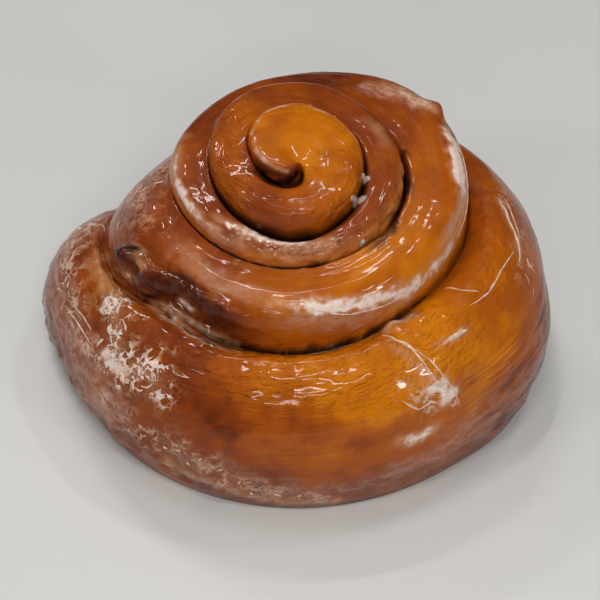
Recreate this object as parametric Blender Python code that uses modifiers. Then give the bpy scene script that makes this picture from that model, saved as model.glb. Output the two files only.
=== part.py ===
"""Glazed cinnamon roll, modelled as one solid.

One strip of dough is wound outwards from the middle for nearly four turns. Each turn
sits lower than the one inside it, so the roll climbs to a small tilted disc. The last
turn is the broad base coil, and its end tapers away at the back left.

A place on the roll has a turn and a row. The turn tells how far along the strip it is:
a whole turn points right (+X), a quarter on from that points to the front (-Y), a half
to the left and three quarters to the back. The row tells how far across the strip it
is, from the seam on its inner side (0) over its crown to the seam on its outer side.
"""

import math

import bmesh
import bpy
import numpy as np
from mathutils import Matrix, Vector, noise

MM = 0.001

# The strip
STEPS_PER_TURN = 30
SEAM_START = 0.1  # where the seam begins, at the bottom of the hole in the disc
LAST_TURN = 3.7  # where the seam runs out at the plate, at the back left
INNER_ROWS = 3  # rows from the seam up to the crown
OUTER_ROWS = 5  # rows from the crown down the outer wall
SEAM_CREASE = 0.8  # how sharp the bottom of the seam stays, 0 to 1

# Middle of the winding at a turn: turn, x, y in mm. It drifts as the strip is wound.
CENTRE_KEYS = (
    (0.0, 1.0, 0.5),
    (0.5, -0.5, 2.0),
    (1.0, 0.0, 3.0),
    (2.0, -0.5, 4.5),
    (3.0, -1.0, 3.0),
    (3.7, -0.5, -0.5),
)

# Seam between two turns: turn, radius, height of the lip outside it, depth and width, in mm
SEAM_KEYS = (
    (0.10, 0.0, 56.5, 0.0, 0.0),
    (0.25, 2.0, 54.5, 7.0, 3.0),
    (0.38, 4.8, 55.5, 8.0, 3.2),
    (0.50, 8.2, 57.0, 4.5, 1.6),
    (0.75, 15.6, 58.0, 1.5, 0.6),
    (1.00, 13.6, 54.5, 4.0, 1.2),
    (1.12, 14.2, 51.2, 5.0, 2.0),
    (1.25, 15.2, 48.5, 5.0, 2.2),
    (1.36, 16.0, 49.8, 3.5, 1.3),
    (1.50, 17.8, 52.5, 2.0, 0.7),
    (1.75, 23.0, 55.0, 1.0, 0.6),
    (2.00, 21.2, 50.5, 6.0, 2.4),
    (2.10, 21.4, 48.4, 5.0, 1.8),
    (2.25, 22.0, 45.5, 2.0, 0.7),
    (2.50, 25.0, 46.5, 1.6, 0.7),
    (2.62, 29.0, 43.0, 1.8, 0.7),
    (2.75, 35.5, 41.0, 2.5, 0.9),
    (2.88, 40.0, 40.0, 3.6, 1.1),
    (3.00, 36.8, 38.0, 3.2, 1.0),
    (3.12, 32.5, 35.5, 2.6, 0.8),
    (3.25, 31.5, 33.5, 2.6, 0.8),
    (3.38, 31.5, 33.5, 2.6, 1.0),
    (3.46, 37.5, 32.0, 2.2, 1.0),
    (3.52, 41.4, 29.2, 1.6, 0.8),
    (3.60, 44.5, 19.5, 1.5, 0.8),
    (3.70, 47.5, 0.0, 0.0, 0.0),
)

# Crown of the strip between the seam at this turn and the next one: turn, height in mm,
# place across the strip from 0 to 1, and how square its outer shoulder is (2 is round)
CROWN_KEYS = (
    (-0.90, 56.5, 0.42, 3.2),
    (-0.75, 57.5, 0.42, 3.4),
    (-0.50, 58.8, 0.50, 3.6),
    (-0.25, 59.5, 0.50, 3.4),
    (0.00, 57.7, 0.50, 3.6),
    (0.25, 55.2, 0.42, 3.8),
    (0.50, 57.4, 0.42, 3.6),
    (0.75, 57.8, 0.42, 3.0),
    (1.00, 54.8, 0.42, 3.0),
    (1.25, 49.2, 0.40, 3.0),
    (1.50, 52.4, 0.42, 2.9),
    (1.75, 53.2, 0.45, 2.7),
    (1.88, 54.0, 0.50, 3.4),
    (2.00, 50.6, 0.42, 3.2),
    (2.25, 46.0, 0.42, 3.1),
    (2.38, 45.7, 0.30, 2.5),
    (2.50, 45.4, 0.18, 1.8),
    (2.62, 40.4, 0.15, 1.6),
    (2.75, 38.2, 0.25, 1.9),
    (3.00, 39.6, 0.34, 2.2),
    (3.25, 36.1, 0.34, 2.2),
    (3.38, 35.1, 0.30, 2.2),
    (3.46, 33.2, 0.24, 2.1),
    (3.52, 31.2, 0.20, 2.1),
    (3.60, 20.4, 0.25, 2.1),
    (3.70, 0.0, 0.34, 2.2),
)

# Rim of the base coil on the plate: turn, radius in mm
RIM_KEYS = (
    (3.70, 48.3),
    (3.85, 51.3),
    (4.00, 52.5),
    (4.06, 50.9),
    (4.12, 46.4),
    (4.18, 43.6),
    (4.25, 42.6),
    (4.38, 44.8),
    (4.46, 48.4),
    (4.52, 53.6),
    (4.60, 52.2),
    (4.70, 48.3),
)
RIM_BULGE = 5.2  # how far the wall of the base coil bulges past its rim, mm
BULGE_PEAK = 0.68  # how far down the wall the bulge is greatest, 0 to 1
FULL_BULGE_WIDTH = 12.0  # a strip narrower than this bulges less, mm
RIM_BLEND = 0.1  # the bulge comes in over this many turns either side of LAST_TURN
LIP_LIMIT = 0.6  # the lip stays within this share of the way to the crown

# The pinched corner that stands up at the back right, mm
CORNER_PLACE = (31.0, 27.0)
CORNER_RISE = 2.5
CORNER_REACH = 3.5

# The torn pocket at the left, where the strip's end is stuck on, mm
POCKET_PLACE = (-35.5, -7.0)
POCKET_DEPTH = 3.0
POCKET_REACH = 3.5

# Unevenness of the dough, mm
LUMP_HEIGHT = 0.5
LUMP_SIZE = 14.0
RELIEF_START = 8.0  # the relief comes in over this height above the base

BASE_INSET = 6.0  # the flat base starts this far inside the rim, mm
WELD = 0.01  # vertices closer than this are one, mm

CRUST_COLOUR = (0.36, 0.105, 0.022, 1.0)
CRUST_ROUGHNESS = 0.3


def curve_through(keys, column):
    """Return a smooth function of the turn through one column of a table of keys."""
    turns = np.array([key[0] for key in keys])
    values = np.array([key[column] for key in keys])
    slopes = np.gradient(values, turns)

    def value_at(turn):
        turn = min(max(turn, turns[0]), turns[-1])
        i = min(int(np.searchsorted(turns, turn, side="right")) - 1, len(turns) - 2)
        span = turns[i + 1] - turns[i]
        f = (turn - turns[i]) / span
        start = values[i] * (1 + 2 * f) * (1 - f) ** 2 + span * slopes[i] * f * (1 - f) ** 2
        end = values[i + 1] * f * f * (3 - 2 * f) - span * slopes[i + 1] * f * f * (1 - f)
        return float(start + end)

    return value_at


centre_x = curve_through(CENTRE_KEYS, 1)
centre_y = curve_through(CENTRE_KEYS, 2)
seam_radius = curve_through(SEAM_KEYS, 1)
lip_height = curve_through(SEAM_KEYS, 2)
seam_depth = curve_through(SEAM_KEYS, 3)
seam_width = curve_through(SEAM_KEYS, 4)
crown_height = curve_through(CROWN_KEYS, 1)
crown_place = curve_through(CROWN_KEYS, 2)
shoulder_power = curve_through(CROWN_KEYS, 3)
rim_radius = curve_through(RIM_KEYS, 1)


def winding_point(turn, radius):
    """Return the place in plan at this turn and radius, in mm."""
    angle = -2 * math.pi * turn
    x = centre_x(turn) + radius * math.cos(angle)
    y = centre_y(turn) + radius * math.sin(angle)
    return Vector((x, y))


def seam_point(turn):
    """Return the place in plan of the bottom of the seam."""
    return winding_point(turn, seam_radius(turn))


def seam_floor(turn):
    """Return the height of the bottom of the seam."""
    return max(lip_height(turn) - seam_depth(turn), 0.0)


def strip_point(turn, row):
    """Return the point of the strip at this turn and row, in mm."""
    start = max(turn, SEAM_START)
    inner = seam_point(start)
    is_base = turn + 1 > LAST_TURN
    end = max(turn + 1, SEAM_START)
    outer = winding_point(end, rim_radius(end)) if is_base else seam_point(end)
    across = outer - inner
    width = across.length
    along = across / width if width > 0 else Vector((0.0, 0.0))

    start_height = seam_floor(start)
    end_height = 0.0 if is_base else seam_floor(end)
    top = crown_height(turn)
    base_share = smooth_step((end - LAST_TURN + RIM_BLEND) / (2 * RIM_BLEND))
    power = shoulder_power(turn)
    crown_distance = crown_place(turn) * width

    if row == 0:
        distance, height = 0.0, start_height
    elif row < INNER_ROWS:
        lip = min(seam_width(start), LIP_LIMIT * crown_distance)
        f = (row - 1) / (INNER_ROWS - 1)
        distance = lip + (crown_distance - lip) * f
        lip_top = lip_height(start)
        height = lip_top + (top - lip_top) * (1 - (1 - f) ** 2)
    else:
        s = (row - INNER_ROWS) / OUTER_ROWS
        phi = s * math.pi / 2
        distance = crown_distance + (width - crown_distance) * math.sin(phi) ** (2 / power)
        bulge = RIM_BULGE * base_share * bulge_shape(s)
        distance += bulge * min(1.0, width / FULL_BULGE_WIDTH)
        height = end_height + (top - end_height) * max(math.cos(phi), 0.0) ** (2 / power)

    place = inner + along * distance
    return Vector((place.x, place.y, height))


def smooth_step(f):
    """Ease from 0 to 1 as f goes from 0 to 1."""
    f = min(max(f, 0.0), 1.0)
    return f * f * (3 - 2 * f)


def bulge_shape(s):
    """Return how much of the bulge shows at s, from 0 at the crown to 1 at the rim."""
    if s < BULGE_PEAK:
        return smooth_step(s / BULGE_PEAK)
    return 1 - ((s - BULGE_PEAK) / (1 - BULGE_PEAK)) ** 2


def near(point, place, reach):
    """Return 1 at the place in plan, falling smoothly to 0 some way past the reach."""
    gap = (point.xy - Vector(place)).length
    return math.exp(-((gap / reach) ** 2))


def relief(point):
    """Return how far a point moves for the pocket, the corner and the dough's lumps."""
    above_base = smooth_step(point.z / RELIEF_START)
    lump = noise.noise(point / LUMP_SIZE) * LUMP_HEIGHT * above_base
    rise = CORNER_RISE * near(point, CORNER_PLACE, CORNER_REACH)
    dent = POCKET_DEPTH * near(point, POCKET_PLACE, POCKET_REACH)
    away = Vector((point.x, point.y, 0.0)).normalized() * lump
    return away + Vector((0.0, 0.0, lump + (rise - dent) * above_base))


def build_strip():
    """Return a mesh of the whole strip, wound up and welded along its seams."""
    steps = round((LAST_TURN + 1) * STEPS_PER_TURN)
    rows = INNER_ROWS + OUTER_ROWS
    bm = bmesh.new()
    bmesh.ops.create_grid(bm, x_segments=steps, y_segments=rows, size=0.5)
    crease = bm.edges.layers.float.new("crease_edge")
    for edge in bm.edges:
        if all(round((vert.co.y + 0.5) * rows) == 0 for vert in edge.verts):
            edge[crease] = SEAM_CREASE
    for vert in bm.verts:
        turn = round((vert.co.x + 0.5) * steps) / STEPS_PER_TURN - 1
        row = round((vert.co.y + 0.5) * rows)
        vert.co = strip_point(turn, row)
    bmesh.ops.remove_doubles(bm, verts=bm.verts, dist=WELD)
    return bm


def close_base(bm):
    """Close the open rim with a flat base that starts a little way inside it."""
    rim = [edge for edge in bm.edges if edge.is_boundary]
    base = bmesh.ops.contextual_create(bm, geom=rim)["faces"]
    bmesh.ops.inset_region(bm, faces=base, thickness=BASE_INSET, use_even_offset=False)
    bmesh.ops.poke(bm, faces=base)


def build_roll(collection):
    """Build the roll as one object, with its bounding box centred over the origin."""
    bm = build_strip()
    for vert in bm.verts:
        vert.co += relief(vert.co)
    close_base(bm)
    bmesh.ops.recalc_face_normals(bm, faces=bm.faces)
    bmesh.ops.scale(bm, vec=(MM, MM, MM), verts=bm.verts)

    mesh = bpy.data.meshes.new("cinnamon_roll")
    bm.to_mesh(mesh)
    bm.free()
    mesh.shade_smooth()
    mesh.materials.append(crust_material())
    roll = bpy.data.objects.new("cinnamon_roll", mesh)
    collection.objects.link(roll)
    smooth = roll.modifiers.new("Soft dough", "SUBSURF")
    smooth.levels = 1
    smooth.render_levels = 1
    centre_over_origin(roll)
    return roll


def centre_over_origin(roll):
    """Move the mesh so that its smoothed bounding box is centred and stands on z = 0."""
    view = bpy.context.evaluated_depsgraph_get()
    smoothed = roll.evaluated_get(view).to_mesh()
    points = np.array([vert.co for vert in smoothed.vertices])
    low, high = points.min(axis=0), points.max(axis=0)
    middle = (low + high) / 2
    roll.data.transform(Matrix.Translation((-middle[0], -middle[1], -low[2])))


def crust_material():
    """Return the glossy brown crust."""
    material = bpy.data.materials.new("glazed_crust")
    material.use_nodes = True
    shader = material.node_tree.nodes["Principled BSDF"]
    shader.inputs["Base Color"].default_value = CRUST_COLOUR
    shader.inputs["Roughness"].default_value = CRUST_ROUGHNESS
    shader.inputs["Metallic"].default_value = 0.0
    return material


def main():
    """Clear the scene and build the cinnamon roll in a collection of its own."""
    for old in list(bpy.data.objects):
        bpy.data.objects.remove(old, do_unlink=True)
    collection = bpy.data.collections.new("glazed_cinnamon_roll")
    bpy.context.scene.collection.children.link(collection)
    build_roll(collection)


main()
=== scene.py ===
"""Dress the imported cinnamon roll.

The roll is one strip of dough wound into a raised spiral. This script repeats the strip
finely over the plain solid, bakes and glazes it, and lays white icing and sugar threads
on it. A place on the strip is a turn and a share across it. A whole turn points right
(+X), a quarter on from it to the front (-Y), a half to the left and three quarters to
the back. The share across runs from the seam on the inner side, 0, over the crown to
the seam on the outer side, 1.
"""

import logging
import math
from dataclasses import dataclass, field
from enum import Enum

import bmesh
import bpy
import numpy as np
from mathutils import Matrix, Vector, noise
from mathutils.bvhtree import BVHTree


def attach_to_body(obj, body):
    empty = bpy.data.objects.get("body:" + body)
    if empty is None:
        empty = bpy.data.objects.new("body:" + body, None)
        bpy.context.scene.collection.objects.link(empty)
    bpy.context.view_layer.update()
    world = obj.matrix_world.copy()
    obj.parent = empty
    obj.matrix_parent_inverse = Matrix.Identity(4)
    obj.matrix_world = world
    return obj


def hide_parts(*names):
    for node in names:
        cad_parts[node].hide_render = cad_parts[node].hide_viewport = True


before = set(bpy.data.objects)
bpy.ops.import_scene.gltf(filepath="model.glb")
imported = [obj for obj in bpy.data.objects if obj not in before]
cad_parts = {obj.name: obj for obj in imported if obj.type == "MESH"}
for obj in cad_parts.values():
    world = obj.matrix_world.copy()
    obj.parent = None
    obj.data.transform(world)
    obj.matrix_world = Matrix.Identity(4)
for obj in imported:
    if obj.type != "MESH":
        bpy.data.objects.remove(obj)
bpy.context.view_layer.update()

LOG = logging.getLogger("cinnamon_roll")
MM = 0.001
BODY = "root"
NODE = "cinnamon_roll"
# how far the winding's own origin is from the frame's, in metres
OFFSET = (0.000653, -0.002191, 0.0)
# a length in mm and a step in turns that are as good as none
NO_LENGTH = 1e-9
NO_STEP = 1e-6
# the middle of a noise texture's values
MIDDLE = 0.5
NOISE_SHIFT = (17.3, 5.9, 11.7)
# where a soft shape ends and where it is full, as shares of its reach
DENT_EDGE = (1.3, 0.2)
WASH_EDGE = (1.3, 0.1)
# how many reaches round its path a wash is worked out for, and in how many steps a leg
WASH_LIMIT = 2.0
PATH_STEPS = 8
WHITE = (1.0, 1.0, 1.0)
WARM = (1.0, 0.96, 0.90)
GREY = (0.44, 0.35, 0.31, 1.0)
GREY_DEEP = (0.26, 0.15, 0.10, 1.0)
CRUMB = (0.56, 0.30, 0.15, 1.0)
CRUMB_DEEP = (0.30, 0.08, 0.025, 1.0)

Array = np.ndarray
Span = tuple[float, float]
Triple = tuple[float, float, float]
Colour = tuple[float, float, float, float]
Keys = tuple[tuple[float, ...], ...]
Socket = bpy.types.NodeSocket


def smooth_step(low: float | Array, high: float | Array, value: Array) -> Array:
    """Ease from 0 to 1 as the value goes from low to high.

    Args:
        low: the value at which the result starts to rise.
        high: the value at which the result reaches 1.
        value: the values to ease.

    Returns:
        The eased values, each from 0 to 1.
    """
    f = np.clip((np.asarray(value, float) - low) / (high - low), 0.0, 1.0)
    return f * f * (3 - 2 * f)


def noise_at(points: Array, size: float | Triple, seed: int) -> Array:
    """Read smooth noise at points.

    Args:
        points: places, one a row.
        size: the size of the lumps, in the points' unit, or one size for each axis.
        seed: shifts the pattern, so that two fields differ.

    Returns:
        One value a point, mostly from -0.7 to 0.7.
    """
    scaled = points / np.asarray(size, float) + np.array(NOISE_SHIFT) * seed
    return np.array([noise.noise(Vector(row)) for row in scaled.tolist()])


def on_line(values: Array) -> Array:
    """Return points on one line, at which noise changes with the values alone."""
    return np.column_stack([values, values * 0, values * 0])


@dataclass(frozen=True)
class Grain:
    """One scale of noise: the size of its lumps in mm, its seed and its height."""

    size: float | Triple
    seed: int
    height: float = 1.0

    def at(self, points: Array) -> Array:
        """Return the noise at each point."""
        return noise_at(points, self.size, self.seed) * self.height


def mingle(grains: tuple[Grain, ...], points: Array) -> Array:
    """Return the sum of several scales of noise at each point."""
    return sum(grain.at(points) for grain in grains)


@dataclass(frozen=True)
class Track:
    """One value that changes smoothly along the strip, through a few keys."""

    keys: Keys
    column: int = 1

    def at(self, turn: Array) -> Array:
        """Read the track.

        Args:
            turn: the turns to read it at.

        Returns:
            The value at each turn, held past the first and last keys.
        """
        turns = np.array([key[0] for key in self.keys])
        values = np.array([key[self.column] for key in self.keys])
        slopes = np.gradient(values, turns)
        turn = np.clip(turn, turns[0], turns[-1])
        i = np.clip(np.searchsorted(turns, turn, side="right") - 1, 0, len(turns) - 2)
        span = turns[i + 1] - turns[i]
        f = (turn - turns[i]) / span
        start = values[i] * (1 + 2 * f) * (1 - f) ** 2 + span * slopes[i] * f * (1 - f) ** 2
        end = values[i + 1] * f * f * (3 - 2 * f) - span * slopes[i + 1] * f * f * (1 - f)
        return start + end


@dataclass(frozen=True)
class Winding:
    """The form of the wound strip, in mm."""

    last_turn: float = 3.7
    seam_start: float = 0.1
    lip_place: float = 0.125
    crown_share: float = 0.375
    lip_limit: float = 0.8
    rim_bulge: float = 4.5
    bulge_peak: float = 0.68
    full_width: float = 12.0
    base_blend: float = 0.1
    turn_step: float = 0.002
    across_step: float = 0.004
    # turn, x and y of the middle of the winding
    centre: Keys = (
        (0.0, 1.0, 0.5),
        (0.5, -0.5, 2.0),
        (1.0, 0.0, 3.0),
        (2.0, -0.5, 4.5),
        (3.0, -1.0, 3.0),
        (3.7, -0.5, -0.5),
    )
    # turn, radius, height of the lip outside the seam, depth and width of the seam
    seam: Keys = (
        (0.10, 0.0, 56.5, 0.0, 0.0),
        (0.25, 2.0, 54.5, 7.0, 3.0),
        (0.38, 4.8, 55.5, 8.0, 3.2),
        (0.50, 8.2, 57.0, 3.2, 1.2),
        (0.75, 15.6, 58.0, 0.6, 0.4),
        (0.90, 14.2, 56.0, 1.5, 0.6),
        (1.00, 13.6, 54.5, 4.0, 1.2),
        (1.12, 14.2, 51.2, 5.0, 2.0),
        (1.25, 15.2, 48.5, 5.0, 2.3),
        (1.36, 16.0, 49.8, 3.5, 1.3),
        (1.50, 17.8, 52.5, 1.2, 0.5),
        (1.75, 23.0, 55.0, 0.4, 0.4),
        (1.90, 22.2, 52.5, 2.5, 0.8),
        (2.00, 22.6, 50.5, 5.5, 1.8),
        (2.10, 22.4, 48.4, 4.5, 1.6),
        (2.20, 22.0, 46.3, 2.0, 0.8),
        (2.25, 22.0, 45.5, 1.0, 0.5),
        (2.50, 25.0, 46.5, 1.0, 0.5),
        (2.62, 29.0, 43.0, 1.0, 0.5),
        (2.75, 35.5, 41.0, 2.0, 0.8),
        (2.88, 40.0, 40.0, 3.5, 1.0),
        (3.00, 36.8, 38.0, 2.6, 0.8),
        (3.12, 32.5, 35.5, 1.4, 0.5),
        (3.25, 31.5, 33.5, 1.6, 0.5),
        (3.33, 31.5, 33.5, 0.8, 0.6),
        (3.38, 31.5, 33.5, 0.3, 0.6),
        (3.46, 37.5, 31.8, 0.2, 0.8),
        (3.52, 41.4, 28.6, 0.2, 0.3),
        (3.60, 44.5, 18.5, 0.2, 0.3),
        (3.70, 47.5, 0.0, 0.0, 0.0),
    )
    # turn, height of the crown, its place across the strip, squareness of the shoulder
    crown: Keys = (
        (-0.90, 56.5, 0.42, 4.0),
        (-0.75, 57.5, 0.42, 4.5),
        (-0.50, 58.5, 0.50, 4.5),
        (-0.25, 59.0, 0.50, 4.0),
        (0.00, 57.5, 0.50, 4.5),
        (0.25, 55.0, 0.42, 4.8),
        (0.50, 57.0, 0.42, 4.5),
        (0.75, 57.5, 0.42, 3.5),
        (1.00, 54.5, 0.42, 3.6),
        (1.25, 49.0, 0.40, 3.6),
        (1.50, 52.0, 0.42, 3.2),
        (1.75, 52.5, 0.45, 2.7),
        (1.88, 53.0, 0.50, 3.4),
        (2.00, 50.2, 0.42, 3.6),
        (2.25, 45.7, 0.42, 3.2),
        (2.38, 45.5, 0.30, 2.5),
        (2.50, 45.3, 0.18, 1.7),
        (2.62, 40.0, 0.15, 1.5),
        (2.75, 38.0, 0.25, 1.9),
        (3.00, 39.5, 0.34, 2.2),
        (3.25, 36.0, 0.34, 2.2),
        (3.38, 35.0, 0.30, 2.2),
        (3.46, 33.0, 0.22, 2.1),
        (3.52, 31.0, 0.15, 2.1),
        (3.60, 20.5, 0.20, 2.1),
        (3.70, 0.0, 0.34, 2.2),
    )
    # turn and radius of the rim of the foot
    rim: Keys = (
        (3.70, 47.5),
        (3.85, 50.5),
        (4.00, 51.6),
        (4.06, 50.4),
        (4.12, 45.6),
        (4.18, 43.2),
        (4.25, 42.3),
        (4.38, 44.3),
        (4.46, 47.7),
        (4.52, 52.8),
        (4.60, 51.4),
        (4.70, 47.5),
    )

    def in_plan(self, turn: Array, radius: Array) -> Array:
        """Place points round the middle of the winding.

        Args:
            turn: the turn of each point.
            radius: its distance from the middle, in mm.

        Returns:
            Places in plan, one a row.
        """
        angle = -2 * math.pi * turn
        x = Track(self.centre, 1).at(turn) + radius * np.cos(angle)
        y = Track(self.centre, 2).at(turn) + radius * np.sin(angle)
        return np.stack([x, y], axis=1)

    def seam_floor(self, turn: Array) -> Array:
        """Return the height of the bottom of the seam."""
        return np.maximum(Track(self.seam, 2).at(turn) - Track(self.seam, 3).at(turn), 0.0)

    def bulge_shape(self, s: Array) -> Array:
        """Return how much of the base coil's bulge shows, from the crown (0) to the rim (1)."""
        below = 1 - ((s - self.bulge_peak) / (1 - self.bulge_peak)) ** 2
        return np.where(s < self.bulge_peak, smooth_step(0.0, self.bulge_peak, s), below)

    def places(self, turn: Array, across: Array) -> Array:
        """Return points of the bare strip.

        Args:
            turn: the turn of each point.
            across: its share across the strip, 0 to 1.

        Returns:
            Places in mm, one a row.
        """
        start = np.maximum(turn, self.seam_start)
        end = np.maximum(turn + 1, self.seam_start)
        is_base = turn + 1 > self.last_turn + NO_STEP
        inner = self.in_plan(start, Track(self.seam, 1).at(start))
        outer_radius = np.where(is_base, Track(self.rim).at(end), Track(self.seam, 1).at(end))
        gap = self.in_plan(end, outer_radius) - inner
        width = np.hypot(gap[:, 0], gap[:, 1])
        along = gap / np.maximum(width, NO_LENGTH)[:, None]

        floor = self.seam_floor(start)
        end_height = np.where(is_base, 0.0, self.seam_floor(end))
        top = Track(self.crown, 1).at(turn)
        crown = Track(self.crown, 2).at(turn) * width
        power = Track(self.crown, 3).at(turn)
        base_share = smooth_step(-self.base_blend, self.base_blend, end - self.last_turn)
        lip = np.minimum(Track(self.seam, 4).at(start), self.lip_limit * crown)
        lip_top = Track(self.seam, 2).at(start)

        rise = np.clip(across / self.lip_place, 0.0, 1.0) * math.pi / 2
        f = np.clip((across - self.lip_place) / (self.crown_share - self.lip_place), 0.0, 1.0)
        s = np.clip((across - self.crown_share) / (1 - self.crown_share), 0.0, 1.0)
        phi = s * math.pi / 2

        distance = lip * (1 - np.cos(rise)) + (crown - lip) * f
        height = floor + (lip_top - floor) * np.sin(rise) + (top - lip_top) * (1 - (1 - f) ** 2)
        wall = crown + (width - crown) * np.sin(phi) ** (2 / power)
        wall += self.rim_bulge * base_share * self.bulge_shape(s) * np.minimum(1.0, width / self.full_width)
        fall = end_height + (top - end_height) * np.maximum(np.cos(phi), 0.0) ** (2 / power)
        on_wall = across > self.crown_share
        distance = np.where(on_wall, wall, distance)
        height = np.where(on_wall, fall, height)
        plan = inner + along * distance[:, None]
        return np.column_stack([plan, height])

    def normals(self, turn: Array, across: Array) -> Array:
        """Return the way out of the bare strip.

        Args:
            turn: the turn of each point.
            across: its share across the strip, 0 to 1.

        Returns:
            Unit normals, one a row.
        """
        ahead = self.places(turn + self.turn_step, across) - self.places(turn - self.turn_step, across)
        low = np.clip(across - self.across_step, 0, 1)
        high = np.clip(across + self.across_step, 0, 1)
        outward = self.places(turn, high) - self.places(turn, low)
        normal = np.cross(outward, ahead)
        length = np.linalg.norm(normal, axis=1)
        flat = length < NO_LENGTH
        normal[flat] = (0.0, 0.0, 1.0)
        length[flat] = 1.0
        return normal / length[:, None]


@dataclass(frozen=True)
class Dent:
    """A soft hollow in the strip, by its place, its reach along and across and its depth."""

    name: str
    turn: float
    across: float
    turn_reach: float
    across_reach: float
    depth: float

    def at(self, turn: Array, across: Array) -> Array:
        """Measure the hollow.

        Args:
            turn: the turn of each point.
            across: its share across the strip, 0 to 1.

        Returns:
            The hollow's depth at each point, in mm.
        """
        along_gap = ((turn - self.turn) / self.turn_reach) ** 2
        across_gap = ((across - self.across) / self.across_reach) ** 2
        return self.depth * smooth_step(*DENT_EDGE, np.sqrt(along_gap + across_gap))


@dataclass(frozen=True)
class Tear:
    """A torn edge along the strip's wall, with a rough recess under it.

    Each key of the edge is a turn, a share across and the depth of the recess in mm.
    """

    edge: Keys = (
        (2.285, 0.72, 0.0),
        (2.300, 0.70, 0.4),
        (2.325, 0.66, 0.8),
        (2.352, 0.66, 1.0),
        (2.390, 0.66, 1.3),
        (2.420, 0.68, 1.8),
        (2.433, 0.665, 2.0),
        (2.448, 0.656, 2.2),
        (2.459, 0.695, 2.1),
        (2.464, 0.735, 1.4),
        (2.475, 0.77, 0.0),
    )
    drop: float = 0.035
    reach: float = 0.30
    held: float = 0.2

    def share(self, turn: Array, across: Array) -> Array:
        """Return how far into the recess each place lies, 0 to 1."""
        gap = across - Track(self.edge, 1).at(turn)
        return smooth_step(0.0, self.drop, gap) * smooth_step(self.reach, self.held * self.reach, gap)

    def depth(self, turn: Array) -> Array:
        """Return the depth of the recess at each turn, in mm."""
        inside = (turn > self.edge[0][0]) & (turn < self.edge[-1][0])
        return np.maximum(Track(self.edge, 2).at(turn), 0.0) * inside


class Layer(Enum):
    """What a wash puts on the crust."""

    # a milky glaze film, partly a painted sheen of reflected light
    MILK_AND_SHEEN = "milk_and_sheen"
    ICING = "icing"
    WEB = "web"
    WRINKLE = "wrinkle"
    RIPPLE = "ripple"
    # browning, and painted shade in grooves and hollows
    BROWN_AND_SHADE = "browned_and_shaded"
    TORN = "torn"
    # painted shade in slits and hollows, where the icing is also cut away
    SLIT_SHADE = "slit_shade"


@dataclass(frozen=True)
class Wash:
    """A soft-edged zone painted along a path on the strip, by its reach in mm and its strength.

    Each key of the path is a turn, a share across and, where the wash thins out, its
    strength there from 0 to 1.
    """

    name: str
    reach: float
    strength: float
    path: Keys

    def at(self, winding: Winding, bare: Array, ragged: Array) -> Array:
        """Return how strong the wash is at each place.

        Args:
            winding: the form that the path lies on.
            bare: places of the bare strip in mm, one a row.
            ragged: how far each place's edge is pushed out or in, as a share of the reach.

        Returns:
            One value a place, from 0 to the wash's strength.
        """
        keys = np.array([(*key, 1.0)[:3] for key in self.path], float)
        spine = np.column_stack([winding.places(keys[:, 0], keys[:, 1]), keys[:, 2]])
        legs = zip(spine[:-1], spine[1:])
        steps = np.concatenate([np.linspace(a, b, PATH_STEPS) for a, b in legs])
        low = spine[:, :3].min(axis=0) - WASH_LIMIT * self.reach
        high = spine[:, :3].max(axis=0) + WASH_LIMIT * self.reach
        near = np.all((bare > low) & (bare < high), axis=1)
        amount = np.zeros(len(bare))
        for point in steps:
            gap = np.linalg.norm(bare[near] - point[:3], axis=1) / self.reach + ragged[near]
            amount[near] = np.maximum(amount[near], point[3] * smooth_step(*WASH_EDGE, gap))
        return self.strength * amount


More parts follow.
